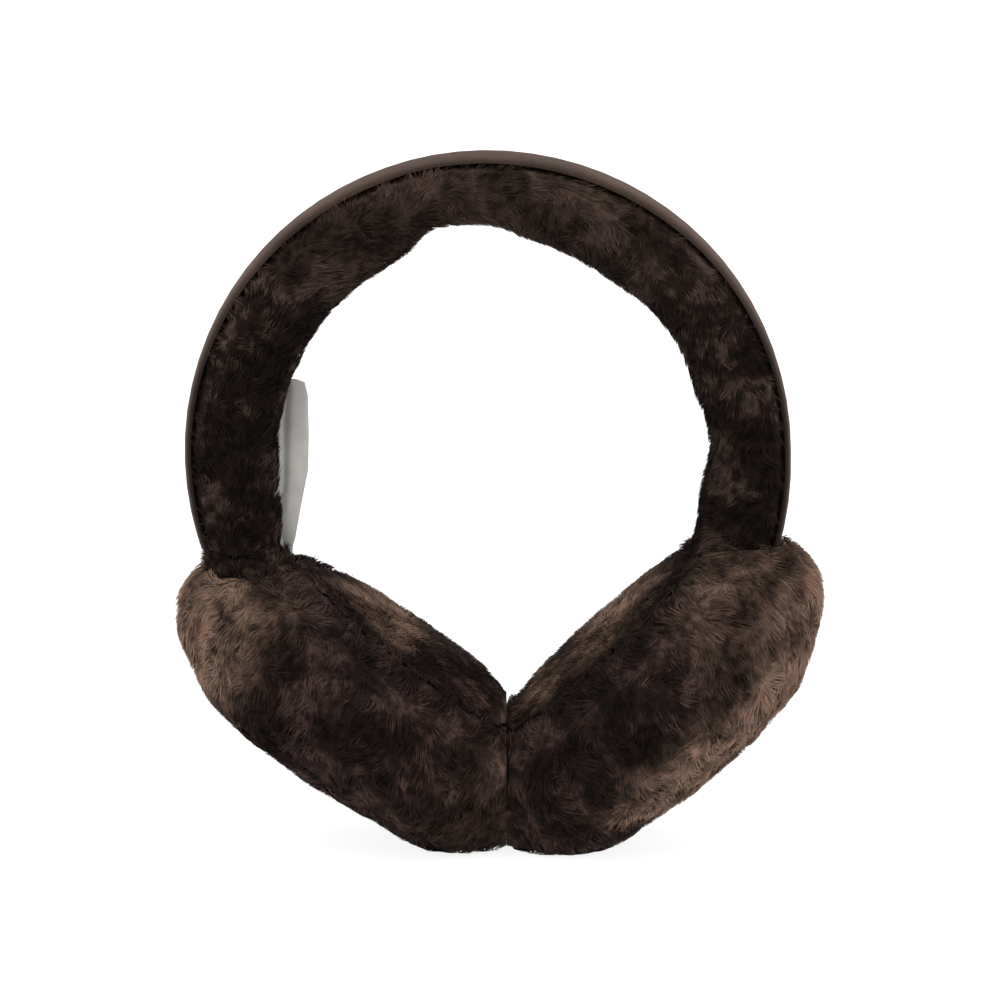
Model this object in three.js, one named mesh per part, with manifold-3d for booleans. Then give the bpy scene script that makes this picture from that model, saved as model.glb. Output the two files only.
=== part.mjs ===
// Fur earmuffs: a sprung headband lined with deep pile and skinned with suede, two round padded ear pads
// that are each sewn from two fur panels, the short cuffs that join them, and a blank satin care label.
// Millimetres. +Z is up, +X runs from ear to ear, and the front faces -Y. The earmuffs stand on the
// flattened bottoms of their pads, with the origin at the middle of the base.

import * as THREE from 'three';
import { mergeVertices } from 'three/addons/utils/BufferGeometryUtils.js';
import Module from 'manifold-3d';

const wasm = await Module();
wasm.setup();

// ---- driving dimensions ---------------------------------------------------------------------------
const GAP = 0.3;                 // left between any two pieces that touch
const FAR = 400;                 // half size of the blocks that cut pieces off at a plane
const AROUND_BAND = 22;          // points around each ring of the headband's pile
const AROUND_PAD = 28;           // points around each ring of a pad
const PAD_STATIONS = 22;         // rings along a pad

const BAND_X = -2.9;             // centre of the headband's circle
const BAND_Z = 101.4;
const BAND_OUTER_SIDE = 76.9;    // outer radius of the headband at the temples
const BAND_OUTER_TOP = 75.2;     // and over the crown, where it is a little flattened
const RIGHT_FLARE = 0.06;        // the right end runs straighter: mm outwards for each degree below +X
const SUEDE_THICKNESS = 1.6;
const SUEDE_HALF_WIDTH = 14;
const PILE_HALF_WIDTH = 17;      // the pile bulges past the suede on both sides
const BAND_SEAM_Z = 75.4;        // the level seam where headband meets cuff
const BAND_INNER_POWER = 2.3;    // how square the pile's section is towards the head
const CUFF_SHRINK = 1.1;         // a cuff is this much slimmer than the headband all round
const PARTING_DEEP = 8;          // the left pad's pile parts this far in front of and behind its cuff
const PARTING_SIDE = 1.5;        // and this far on the cuff's outer and inner sides

const PAD_RADIUS = 51;
const PAD_PRESSED = 57;          // a pad would reach this far if the other pad didn't press it flat
const PAD_SEAM = -18.5;          // the seam between a pad's panels, from its middle towards the ear
const CONTACT_X = 1.9;           // the plane where the two pads press together
const FREE_RIM_POWER = 2.75;     // how square a pad is, seen edge on, at its free end by the headband
const PRESSED_RIM_POWER = 3.1;   // and at the end that the other pad presses
const OUTER_POWER = 2.35;        // how square its section is on the domed outer side
const EAR_POWER = 3.2;           // and on the flatter ear side
const TUFT_OUT = 22;             // tufts and dents sit this far from a pad's middle plane

const LABEL_THICKNESS = 2.2;     // a folded loop of satin
const LABEL_Y = 5;               // it hangs a little behind the middle of the headband
const LABEL_ROOT_RADIUS = 58.5;  // it is sewn this deep into the pile

// The inner edge of the pile, by angle in degrees from +X, over the top to -X.
const PILE_INNER = [
  { angle: -40, inner: 57.0 },
  { angle: -22, inner: 56.4 },
  { angle: -12, inner: 54.6 },
  { angle: 3, inner: 56.0 },
  { angle: 16, inner: 54.2 },
  { angle: 32, inner: 54.6 },
  { angle: 56, inner: 52.6 },
  { angle: 76, inner: 53.6 },
  { angle: 92, inner: 56.8 },
  { angle: 105, inner: 57.4 },
  { angle: 111, inner: 53.4 },
  { angle: 121, inner: 52.2 },
  { angle: 150, inner: 52.6 },
  { angle: 185, inner: 53.0 },
  { angle: 195, inner: 54.2 },
  { angle: 207, inner: 57.4 },
  { angle: 225, inner: 58.0 },
];

// Each pad lies in its own frame: "along" runs down its middle plane from the headband to the other pad,
// "out" points away from the ear. Its thickness on each side is given at a few stations along it.
const LEFT_PAD = {
  side: 1,
  x: -38.0,
  z: 38.7,
  tilt: 37,
  thickness: [
    { along: -51, out: 19.5, ear: 16.5 },
    { along: -25, out: 24.4, ear: 21.0 },
    { along: 0, out: 23.8, ear: 23.5 },
    { along: 25, out: 22.4, ear: 24.8 },
    { along: 51, out: 22.0, ear: 18.0 },
  ],
  tufts: [
    { along: 8, turn: 90, rise: -2.0, spread: 6 },
    { along: -4, turn: 112, rise: 0.8, spread: 7 },
    { along: -45, turn: 75, rise: 1.6, spread: 12 },
    { along: 22, turn: 130, rise: -1.6, spread: 7 },
    { along: -22, turn: 262, rise: 1.4, spread: 9 },
  ],
};
const RIGHT_PAD = {
  side: -1,
  x: 40.8,
  z: 40.1,
  tilt: 43,
  thickness: [
    { along: -51, out: 19.5, ear: 20.0 },
    { along: -25, out: 25.2, ear: 21.5 },
    { along: 0, out: 25.6, ear: 22.8 },
    { along: 25, out: 23.6, ear: 22.8 },
    { along: 51, out: 21.5, ear: 19.0 },
  ],
  tufts: [
    { along: 9, turn: 90, rise: -1.4, spread: 5 },
    { along: 17, turn: 100, rise: 1.2, spread: 7 },
    { along: -46, turn: 82, rise: 1.4, spread: 9 },
    { along: -38, turn: 105, rise: -1.2, spread: 5 },
    { along: 24, turn: 140, rise: -1.8, spread: 7 },
  ],
};

// The label's free edge, from its top to its foot.
const LABEL_EDGE = [
  { z: 118.4, x: -52.6 },
  { z: 117.4, x: -49.6 },
  { z: 114.0, x: -48.8 },
  { z: 104.0, x: -48.6 },
  { z: 95.0, x: -48.8 },
  { z: 86.0, x: -50.6 },
  { z: 77.0, x: -52.2 },
  { z: 73.4, x: -53.6 },
];

// ---- small helpers --------------------------------------------------------------------------------
const radians = THREE.MathUtils.degToRad;

// Reads one column of a table at a place between its rows, easing in and out of each row.
function readTable(rows, key, column, place) {
  const last = rows.length - 1;
  if (place <= rows[0][key]) return rows[0][column];
  if (place >= rows[last][key]) return rows[last][column];
  const next = rows.findIndex((row) => row[key] > place);
  const low = rows[next - 1];
  const high = rows[next];
  const share = (place - low[key]) / (high[key] - low[key]);
  return THREE.MathUtils.lerp(low[column], high[column], share * share * (3 - 2 * share));
}

// A point on a superellipse of half sizes 1 by 1, squarer as the power rises above 2.
function squircle(turn, power) {
  const c = Math.cos(turn);
  const s = Math.sin(turn);
  return {
    across: Math.sign(c) * Math.abs(c) ** (2 / power),
    up: Math.sign(s) * Math.abs(s) ** (2 / power),
  };
}

// Closes a row of rings into a solid: quads between rings, and a fan over each end.
function skinRings(rings) {
  const around = rings[0].length;
  const points = rings.flat();
  const faces = [];
  for (let ring = 0; ring < rings.length - 1; ring += 1) {
    for (let step = 0; step < around; step += 1) {
      const a = ring * around + step;
      const b = ring * around + ((step + 1) % around);
      faces.push([a, b, b + around], [a, b + around, a + around]);
    }
  }
  const capEnd = (ring, flip) => {
    const centre = new THREE.Vector3();
    rings[ring].forEach((point) => centre.addScaledVector(point, 1 / around));
    const hub = points.push(centre) - 1;
    for (let step = 0; step < around; step += 1) {
      const a = ring * around + step;
      const b = ring * around + ((step + 1) % around);
      faces.push(flip ? [hub, b, a] : [hub, a, b]);
    }
  };
  capEnd(0, true);
  capEnd(rings.length - 1, false);
  const geometry = new THREE.BufferGeometry();
  const numbers = points.flatMap((point) => point.toArray());
  geometry.setAttribute('position', new THREE.Float32BufferAttribute(numbers, 3));
  geometry.setIndex(faces.flat());
  return geometry;
}

function toManifold(geometry) {
  const bare = geometry.clone();
  bare.deleteAttribute('normal');
  bare.deleteAttribute('uv');
  const merged = mergeVertices(bare, 1e-4);
  return new wasm.Manifold(new wasm.Mesh({
    numProp: 3,
    vertProperties: new Float32Array(merged.attributes.position.array),
    triVerts: new Uint32Array(merged.index.array),
  }));
}

function toGeometry(solid) {
  const mesh = solid.getMesh();
  const geometry = new THREE.BufferGeometry();
  geometry.setAttribute('position', new THREE.BufferAttribute(mesh.vertProperties, 3));
  geometry.setIndex(new THREE.BufferAttribute(mesh.triVerts, 1));
  geometry.computeVertexNormals();
  return geometry;
}

// A block that fills one side of a plane, given by a point on it and the direction it fills.
function halfSpace(point, direction) {
  const block = new THREE.BoxGeometry(2 * FAR, 2 * FAR, FAR);
  block.translate(0, 0, FAR / 2);
  const turn = new THREE.Quaternion().setFromUnitVectors(new THREE.Vector3(0, 0, 1), direction);
  block.applyQuaternion(turn);
  block.translate(point.x, point.y, point.z);
  return toManifold(block);
}

const above = (z) => halfSpace(new THREE.Vector3(0, 0, z), new THREE.Vector3(0, 0, 1));
const below = (z) => halfSpace(new THREE.Vector3(0, 0, z), new THREE.Vector3(0, 0, -1));

// ---- headband -------------------------------------------------------------------------------------
function outerRadius(angle) {
  const lift = Math.max(0, Math.sin(radians(angle)));
  const flare = RIGHT_FLARE * Math.max(0, -angle);
  return BAND_OUTER_SIDE - (BAND_OUTER_SIDE - BAND_OUTER_TOP) * lift ** 2 + flare;
}

const innerRadius = (angle) => readTable(PILE_INNER, 'angle', 'inner', angle);

function bandPoint(angle, radius, y) {
  const turn = radians(angle);
  return new THREE.Vector3(BAND_X + radius * Math.cos(turn), y, BAND_Z + radius * Math.sin(turn));
}

// How far the band's outer surface has dropped at a given share of its half width.
const CROWN_POWER = 4;
const crownDrop = (share, half) => half * (1 - (1 - Math.abs(share) ** CROWN_POWER) ** (1 / CROWN_POWER));

// The pile's section: nearly flat under the suede, full and round towards the head. It may be made
// slimmer all round, and then deeper from front to back.
function pileRing(angle, shrink, deepen = 0) {
  const outer = outerRadius(angle) - SUEDE_THICKNESS - GAP - shrink;
  const inner = innerRadius(angle) + shrink;
  const middle = (outer + inner) / 2;
  const half = (outer - inner) / 2;
  const depth = PILE_HALF_WIDTH - shrink + deepen;
  const ring = [];
  for (let step = 0; step < AROUND_BAND; step += 1) {
    const turn = (2 * Math.PI * step) / AROUND_BAND;
    const spot = squircle(turn, Math.sin(turn) > 0 ? CROWN_POWER : BAND_INNER_POWER);
    ring.unshift(bandPoint(angle, middle + half * spot.up, depth * spot.across));
  }
  return ring;
}

// The suede is a strip that follows the crown of the pile.
function suedeRing(angle, grow) {
  const half = (outerRadius(angle) - SUEDE_THICKNESS - GAP - innerRadius(angle)) / 2;
  const rows = 8;
  const under = [];
  const over = [];
  for (let row = 0; row <= rows; row += 1) {
    const share = (2 * row) / rows - 1;
    const y = share * (SUEDE_HALF_WIDTH + grow);
    const surface = outerRadius(angle) - crownDrop((share * SUEDE_HALF_WIDTH) / PILE_HALF_WIDTH, half);
    under.push(bandPoint(angle, surface - SUEDE_THICKNESS - grow, y));
    over.unshift(bandPoint(angle, surface + grow, y));
  }
  return [...under, ...over].reverse();
}

function sweep(ringAt, { from, to, steps }) {
  const rings = [];
  for (let step = 0; step <= steps; step += 1) {
    rings.push(ringAt(from + ((to - from) * step) / steps));
  }
  return toManifold(skinRings(rings));
}

// Angles of the first and last ring of each sweep, past the seam at both ends, and its steps.
const SUEDE_SWEEP = { from: -24, to: 206, steps: 48 };
const PILE_SWEEP = { from: -32, to: 216, steps: 52 };
const suedeStrip = (grow) => sweep((angle) => suedeRing(angle, grow), SUEDE_SWEEP);
const pileLining = (grow) => sweep((angle) => pileRing(angle, -grow), PILE_SWEEP);

// A cuff carries the headband's section, a little slimmer, down into its pad.
const CUFFS = {
  left: { from: 192, to: 214 },
  right: { from: -34, to: -10 },
};
const DEGREES_PER_MM = 0.8;      // along the headband, at its middle
function cuff(name, grow) {
  const { from, to } = CUFFS[name];
  const reach = grow * DEGREES_PER_MM;
  const turns = { from: from - reach, to: to + reach, steps: 9 };
  const body = sweep((angle) => pileRing(angle, CUFF_SHRINK - grow), turns);
  return body.intersect(below(BAND_SEAM_Z - GAP + grow));
}

// The left cuff shows below the seam, because its pad's pile parts around it. This is the hollow that
// leaves, widening from nothing at the foot of the cuff.
const PARTING_SWEEP = { from: 198, to: 214, steps: 8 };
const PARTING_FULL = 203;        // the angle where it is as wide as PARTING_DEEP and PARTING_SIDE say
function parting() {
  const { to } = PARTING_SWEEP;
  const ringAt = (angle) => {
    const open = ((to - angle) / (to - PARTING_FULL)) ** 1.5;
    return pileRing(angle, CUFF_SHRINK - GAP - PARTING_SIDE * open, PARTING_DEEP * open);
  };
  return sweep(ringAt, PARTING_SWEEP);
}

// ---- ear pads -------------------------------------------------------------------------------------
function padFrame(pad) {
  const tilt = radians(pad.tilt);
  return {
    centre: new THREE.Vector3(pad.x, 0, pad.z),
    along: new THREE.Vector3(pad.side * Math.cos(tilt), 0, -Math.sin(tilt)),
    out: new THREE.Vector3(-pad.side * Math.sin(tilt), 0, -Math.cos(tilt)),
  };
}

// A tuft that stands proud, or a dent, fades away over its spread.
function tuftRise(pad, along, y, out) {
  let rise = 0;
  for (const tuft of pad.tufts) {
    const turn = radians(tuft.turn);
    const depth = Math.sqrt(Math.max(0, PAD_RADIUS ** 2 - tuft.along ** 2));
    const dy = y - depth * Math.cos(turn);
    const dOut = out - TUFT_OUT * Math.sin(turn);
    const away = (along - tuft.along) ** 2 + dy ** 2 + dOut ** 2;
    rise += tuft.rise * Math.exp(-away / tuft.spread ** 2);
  }
  return rise;
}

function padSolid(pad) {
  const frame = padFrame(pad);
  const rings = [];
  for (let station = 1; station < PAD_STATIONS; station += 1) {
    const place = -Math.cos((Math.PI * station) / PAD_STATIONS);
    const share = Math.abs(place);
    const along = place * (place > 0 ? PAD_PRESSED : PAD_RADIUS);
    const depth = PAD_RADIUS * Math.sqrt(1 - share ** 2);
    const power = place > 0 ? PRESSED_RIM_POWER : FREE_RIM_POWER;
    const rim = (1 - share ** power) ** (1 / power);
    const out = rim * readTable(pad.thickness, 'along', 'out', along);
    const ear = rim * readTable(pad.thickness, 'along', 'ear', along);
    const ring = [];
    for (let step = 0; step < AROUND_PAD; step += 1) {
      const turn = (2 * Math.PI * step) / AROUND_PAD;
      const outwards = Math.sin(turn) > 0;
      const spot = squircle(turn, outwards ? OUTER_POWER : EAR_POWER);
      const y = depth * spot.across;
      const n = (outwards ? out : ear) * spot.up;
      const size = Math.hypot(y, n);
      const grow = 1 + tuftRise(pad, along, y, n) / Math.max(size, 1);
      ring.push(frame.centre.clone()
        .addScaledVector(frame.along, along)
        .addScaledVector(frame.out, n * grow)
        .add(new THREE.Vector3(0, y * grow, 0)));
    }
    if (pad.side > 0) ring.reverse();
    rings.push(ring);
  }
  return toManifold(skinRings(rings));
}

// Cuts a pad where it rests and where it meets the other pad, makes room for what it holds, and parts
// it at its seam.
function padPanels(pad, room) {
  const frame = padFrame(pad);
  const contact = new THREE.Vector3(CONTACT_X - (pad.side * GAP) / 2, 0, 0);
  const whole = padSolid(pad)
    .intersect(above(0))
    .intersect(halfSpace(contact, new THREE.Vector3(-pad.side, 0, 0)))
    .subtract(room);
  const seam = (offset) => frame.centre.clone().addScaledVector(frame.out, PAD_SEAM + offset);
  return {
    outer: whole.intersect(halfSpace(seam(GAP / 2), frame.out)),
    ear: whole.intersect(halfSpace(seam(-GAP / 2), frame.out.clone().negate())),
  };
}

// ---- care label -----------------------------------------------------------------------------------
// Sewn into the pile inside the left of the headband; its outline is extruded across its thickness.
function labelSolid(grow) {
  const rootX = (z) => BAND_X - Math.sqrt((LABEL_ROOT_RADIUS + grow) ** 2 - (z - BAND_Z) ** 2);
  const top = LABEL_EDGE[0].z + grow;
  const foot = LABEL_EDGE.at(-1).z - grow;
  const outline = new THREE.Shape();
  outline.moveTo(rootX(top), top);
  outline.lineTo(LABEL_EDGE[0].x + grow, top);
  LABEL_EDGE.slice(1, -1).forEach((row) => outline.lineTo(row.x + grow, row.z));
  outline.lineTo(LABEL_EDGE.at(-1).x + grow, foot);
  const rootSteps = 6;
  for (let step = 0; step < rootSteps; step += 1) {
    const z = foot + ((top - foot) * step) / rootSteps;
    outline.lineTo(rootX(z), z);
  }
  const thickness = LABEL_THICKNESS + 2 * grow;
  const geometry = new THREE.ExtrudeGeometry(outline, { depth: thickness, bevelEnabled: false });
  geometry.translate(0, 0, -thickness / 2);
  geometry.rotateX(Math.PI / 2);
  geometry.translate(0, LABEL_Y, 0);
  return toManifold(geometry);
}

// ---- materials ------------------------------------------------------------------------------------
const material = (color, roughness) => new THREE.MeshStandardMaterial({ color, roughness, metalness: 0 });
const darkPile = material(0x2e2220, 1.0);
const tippedPile = material(0x5e4a40, 1.0);
const suede = material(0x5a4434, 0.95);
const satin = material(0xb2afa9, 0.45);

// ---- assembly -------------------------------------------------------------------------------------
const earmuffs = new THREE.Group();

function addPiece(name, solid, finish) {
  const mesh = new THREE.Mesh(toGeometry(solid), finish);
  mesh.name = name;
  earmuffs.add(mesh);
}

const bandTop = above(BAND_SEAM_Z);
addPiece('headband_suede', suedeStrip(0).intersect(bandTop), suede);
addPiece('headband_pile', pileLining(0).intersect(bandTop).subtract(labelSolid(GAP)), darkPile);
addPiece('care_label', labelSolid(0).intersect(bandTop), satin);

const bandRoom = suedeStrip(GAP).add(pileLining(GAP)).intersect(above(BAND_SEAM_Z - GAP));
const rooms = { left: bandRoom.add(parting()), right: bandRoom };
for (const [name, pad] of [['left', LEFT_PAD], ['right', RIGHT_PAD]]) {
  const panels = padPanels(pad, cuff(name, GAP).add(rooms[name]));
  addPiece(`cuff_${name}`, cuff(name, 0), darkPile);
  addPiece(`ear_pad_outer_${name}`, panels.outer, tippedPile);
  addPiece(`ear_pad_inner_${name}`, panels.ear, darkPile);
}

// The origin is the middle of the whole object's base.
const box = new THREE.Box3().setFromObject(earmuffs);
earmuffs.position.set(-(box.min.x + box.max.x) / 2, -(box.min.y + box.max.y) / 2, -box.min.z);

export default earmuffs;
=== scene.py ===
# %% [markdown]
# # Fur earmuffs
# A sprung headband, lined with short shearling and skinned with a strip of suede, holds two round
# ear pads of longer pile. Each pad is sewn from two fur panels. The CAD model gives every piece its
# place and its size; this script gives each piece its finish, and builds the pile strand by strand.

# %% Tools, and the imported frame
import math

import bmesh
import bpy
import numpy as np
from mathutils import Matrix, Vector, noise
from mathutils.bvhtree import BVHTree


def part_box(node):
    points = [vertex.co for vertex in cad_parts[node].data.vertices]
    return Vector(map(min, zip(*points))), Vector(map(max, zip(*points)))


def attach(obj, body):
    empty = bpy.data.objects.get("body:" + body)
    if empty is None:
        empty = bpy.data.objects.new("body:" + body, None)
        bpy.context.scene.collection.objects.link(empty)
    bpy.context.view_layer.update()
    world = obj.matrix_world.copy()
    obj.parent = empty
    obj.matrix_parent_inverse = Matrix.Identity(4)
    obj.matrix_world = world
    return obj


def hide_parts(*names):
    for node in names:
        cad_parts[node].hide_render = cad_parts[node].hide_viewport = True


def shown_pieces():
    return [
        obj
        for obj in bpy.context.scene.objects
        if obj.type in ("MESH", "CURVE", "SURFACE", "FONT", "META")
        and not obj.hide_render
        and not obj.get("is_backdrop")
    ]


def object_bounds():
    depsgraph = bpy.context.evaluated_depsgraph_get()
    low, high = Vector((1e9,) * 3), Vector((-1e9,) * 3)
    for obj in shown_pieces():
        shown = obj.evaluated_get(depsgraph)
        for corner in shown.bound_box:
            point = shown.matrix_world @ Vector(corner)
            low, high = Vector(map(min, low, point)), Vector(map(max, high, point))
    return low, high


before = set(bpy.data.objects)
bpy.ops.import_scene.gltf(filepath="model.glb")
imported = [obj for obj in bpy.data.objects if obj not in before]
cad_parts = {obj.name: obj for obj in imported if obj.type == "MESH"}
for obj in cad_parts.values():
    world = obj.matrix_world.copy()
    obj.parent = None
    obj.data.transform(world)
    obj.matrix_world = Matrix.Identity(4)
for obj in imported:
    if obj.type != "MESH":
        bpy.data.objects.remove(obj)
cad_low, cad_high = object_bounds()
MM = 0.001
print("CAD box:", [round(x * 1000, 1) for x in (*cad_low, *cad_high)])

# %% [markdown]
# ## Camera
# A long lens far away keeps the outline almost free of perspective. A short lens close by would make
# the pads look larger than the crown. The camera looks straight at the front, from a little above, so
# that a sliver of the suede on top shows.

# %% Camera
CAMERA_DISTANCE = 2.0
CAMERA_LIFT = math.radians(7.5)
SENSOR = 36.0
FRAME_SIDE = 0.2544
AIM_DROP = 0.0004
AIM = Vector((0.0, 0.0, 0.5 * (cad_high.z + cad_low.z) - AIM_DROP))

camera = bpy.data.objects.new("camera", bpy.data.cameras.new("camera"))
camera.data.sensor_width = SENSOR
camera.data.lens = SENSOR * CAMERA_DISTANCE / FRAME_SIDE
camera.data.clip_end = 50
backward = Vector((0, -math.cos(CAMERA_LIFT), math.sin(CAMERA_LIFT)))
camera.location = AIM + CAMERA_DISTANCE * backward
camera.rotation_euler = (math.pi / 2 - CAMERA_LIFT, 0, 0)
bpy.context.scene.collection.objects.link(camera)
bpy.context.scene.camera = camera
print("lens:", round(camera.data.lens, 1))

# %% [markdown]
# ## Small helpers for node trees
# Shaders and Geometry Nodes are both trees of nodes whose sockets are set or linked. These helpers let
# a tree be written one node to a line, with sockets called by the names that Blender shows.

# %% Setting and linking sockets
def add_node(tree, kind, **settings):
    made = tree.nodes.new(kind)
    for key, value in settings.items():
        setattr(made, key, value)
    return made


def plug(tree, socket, value):
    """Links a socket to another node's output, or sets it to a plain value."""
    if isinstance(value, bpy.types.NodeSocket):
        tree.links.new(value, socket)
    else:
        socket.default_value = value


def feed(tree, target, **values):
    """Fills a node's inputs by name; underscores stand for spaces."""
    for key, value in values.items():
        plug(tree, target.inputs[key.replace("_", " ")], value)
    return target


# %% Sums on numbers and on vectors
def math_node(tree, operation, first, second=0.0, third=0.0):
    made = add_node(tree, "ShaderNodeMath", operation=operation)
    for socket, value in zip(made.inputs, (first, second, third)):
        plug(tree, socket, value)
    return made.outputs[0]


def vector_node(tree, operation, first, second=(0, 0, 0), scale=None):
    made = add_node(tree, "ShaderNodeVectorMath", operation=operation)
    for socket, value in zip(made.inputs, (first, second)):
        plug(tree, socket, value)
    if scale is not None:
        feed(tree, made, Scale=scale)
    return made.outputs["Value"] if operation in ("DOT_PRODUCT", "LENGTH") else made.outputs[0]


# %% [markdown]
# ## Building blocks for finishes
# Every finish here starts from the Principled shader, reads where it is on the piece, and mixes dyes by
# soft noise. A number that is the same all over goes straight on the shader's own socket, so that the
# export keeps it.

# %% A new finish, noise and dyes
def new_finish(name, **shader_values):
    made = bpy.data.materials.new(name)
    made.use_nodes = True
    shader = made.node_tree.nodes["Principled BSDF"]
    feed(made.node_tree, shader, **shader_values)
    place = add_node(made.node_tree, "ShaderNodeTexCoord").outputs["Object"]
    return made, made.node_tree, shader, place


def cloud(tree, place, scale, detail):
    made = feed(tree, add_node(tree, "ShaderNodeTexNoise"), Vector=place, Scale=scale, Detail=detail)
    return made.outputs["Fac"]


def spread(tree, value, low, high):
    """Stretches the middle of a noise over the whole range from 0 to 1."""
    made = add_node(tree, "ShaderNodeMapRange", interpolation_type="SMOOTHSTEP")
    return feed(tree, made, Value=value, From_Min=low, From_Max=high).outputs[0]


def dye_ramp(tree, amount, stops, interpolation="LINEAR"):
    """Dyes from dark to light; each stop is a position and a colour."""
    ramp = add_node(tree, "ShaderNodeValToRGB")
    ramp.color_ramp.interpolation = interpolation
    marks = ramp.color_ramp.elements
    for mark, (position, dye) in zip(list(marks), (stops[0], stops[-1])):
        mark.position = position
        mark.color = (*dye, 1)
    for position, dye in stops[1:-1]:
        marks.new(position).color = (*dye, 1)
    return feed(tree, ramp, Fac=amount).outputs["Color"]


def blended(tree, share, under, over):
    mix = add_node(tree, "ShaderNodeMix", data_type="RGBA", blend_type="MIX")
    return feed(tree, mix, Factor=share, A=under, B=over).outputs["Result"]


def fact(tree, label):
    """A number that the piece carries at each of its points."""
    return add_node(tree, "ShaderNodeAttribute", attribute_name=label).outputs["Fac"]


def roughen(tree, shader, height, strength, distance):
    bump = feed(tree, add_node(tree, "ShaderNodeBump"), Height=height, Strength=strength, Distance=distance)
    feed(tree, shader, Normal=bump.outputs["Normal"])


# %% [markdown]
# ## Pile finish
# Dyed fleece is dark at the root and browner at the tip, and no two tufts are quite the same. One plain
# brown would look like plastic. So each strand carries five numbers: how far along it a point is, its
# own tone, its tuft's tone, how much tan dye and painted light that place on the fleece has, and how
# much painted shade it has. The shader mixes four dyes from those and from soft noise.

# %% Pile finish
PATCH_SCALE = 95.0
SPECK_SCALE = 420.0
UNDERFUR_RELIEF = 1.2 * MM


def pile_finish(name, deep, usual, light, tan_and_painted_light, rough=False):
    made, tree, shader, place = new_finish(name, Roughness=0.85, Specular_IOR_Level=0.06, Sheen_Weight=0.03,
                                           Sheen_Roughness=0.5, Sheen_Tint=(0.85, 0.60, 0.50, 1))
    patches = cloud(tree, place, PATCH_SCALE, 3.0)
    specks = cloud(tree, place, SPECK_SCALE, 2.0)
    shade = math_node(tree, "MULTIPLY_ADD", spread(tree, patches, 0.38, 0.64), 0.46, -0.07)
    shade = math_node(tree, "MULTIPLY_ADD", fact(tree, "tuft"), 0.28, shade)
    shade = math_node(tree, "MULTIPLY_ADD", fact(tree, "hair"), 0.10, shade)
    shade = math_node(tree, "MULTIPLY_ADD", spread(tree, specks, 0.36, 0.62), 0.30, shade)
    dyed = dye_ramp(tree, shade, ((0.12, deep), (0.5, usual), (0.92, light)), "EASE")
    # Tan dye and painted light share one mix towards the tan colour.
    tan_and_light_share = math_node(tree, "MULTIPLY", fact(tree, "tan_and_painted_light"), math_node(tree, "MULTIPLY_ADD", shade, 1.5, 0.02))
    tanned_and_lit = blended(tree, math_node(tree, "MINIMUM", tan_and_light_share, 1.0), dyed, (*tan_and_painted_light, 1))
    reached = math_node(tree, "MULTIPLY_ADD", fact(tree, "tip"), 0.65, 0.35)
    # Painted shade: where the piece carries it, the colour falls towards the deep dye.
    lit = math_node(tree, "MULTIPLY_ADD", fact(tree, "painted_shade"), -0.75, 1.0)
    rooted = blended(tree, math_node(tree, "MULTIPLY", reached, lit), (*deep, 1), tanned_and_lit)
    feed(tree, shader, Base_Color=rooted)
    if rough:
        roughen(tree, shader, specks, 0.9, UNDERFUR_RELIEF)
    print("finish:", name)
    return made


# %% The four dyes of the headband and of the pads
# The tan colour is also the painted light on the headband's crown and on the pads' upper rims.
BAND_DYES = {
    "deep": (0.0034, 0.0020, 0.0015),
    "usual": (0.0190, 0.0110, 0.0086),
    "light": (0.110, 0.070, 0.058),
    "tan_and_painted_light": (0.130, 0.082, 0.063),
}
PAD_DYES = {
    "deep": (0.0058, 0.0034, 0.0028),
    "usual": (0.0290, 0.0165, 0.0142),
    "light": (0.115, 0.068, 0.057),
    "tan_and_painted_light": (0.440, 0.275, 0.195),
}
band_pile = pile_finish("band_pile", **BAND_DYES)
pad_pile = pile_finish("pad_pile", **PAD_DYES)
band_underfur = pile_finish("band_underfur", rough=True, **BAND_DYES)
pad_underfur = pile_finish("pad_underfur", rough=True, **PAD_DYES)


# %% [markdown]
# ## Suede finish
# Suede is the flesh side of the skin, sanded to a short nap. The nap gives a fine grain, and wherever a
# hand has brushed it the other way it looks a little darker or lighter. A fine noise makes the grain and
# a broad one the brushing. Painted shade darkens the skived edges, and more so the low ends where the strip
# stands edge-on, by a number the strip carries.

# %% Suede finish
SUEDE_DARK = (0.018, 0.0105, 0.0078)
SUEDE_LIGHT = (0.072, 0.042, 0.031)
SUEDE_SHADE = (0.008, 0.0045, 0.0033)


def suede_finish():
    made, tree, shader, place = new_finish("napped_suede", Roughness=0.88, Specular_IOR_Level=0.12,
                                           Sheen_Weight=0.10, Sheen_Roughness=0.35,
                                           Sheen_Tint=(1.0, 0.74, 0.60, 1))
    grain = cloud(tree, place, 1900.0, 3.0)
    brushed = cloud(tree, place, 60.0, 5.0)
    nap = math_node(tree, "MULTIPLY_ADD", grain, 0.4, math_node(tree, "MULTIPLY", brushed, 0.6))
    dyed = dye_ramp(tree, nap, ((0.32, SUEDE_DARK), (0.68, SUEDE_LIGHT)))
    # Painted shade darkens the suede towards its darkest colour where the strip carries it.
    feed(tree, shader, Base_Color=blended(tree, fact(tree, "painted_shade"), dyed, (*SUEDE_SHADE, 1)))
    roughen(tree, shader, nap, 0.6, 0.3 * MM)
    return made


suede = suede_finish()
print("finish:", suede.name)


# %% [markdown]
# ## Satin finish
# The label is a grey satin ribbon. Satin hides most of its cross threads, so it shines softly and shows
# only faint fine ribs. A wave texture makes the ribs, and a slow noise keeps the grey from being flat.

# %% Satin finish
SATIN_DARK = (0.40, 0.39, 0.36)
SATIN_LIGHT = (0.56, 0.54, 0.50)


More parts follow.
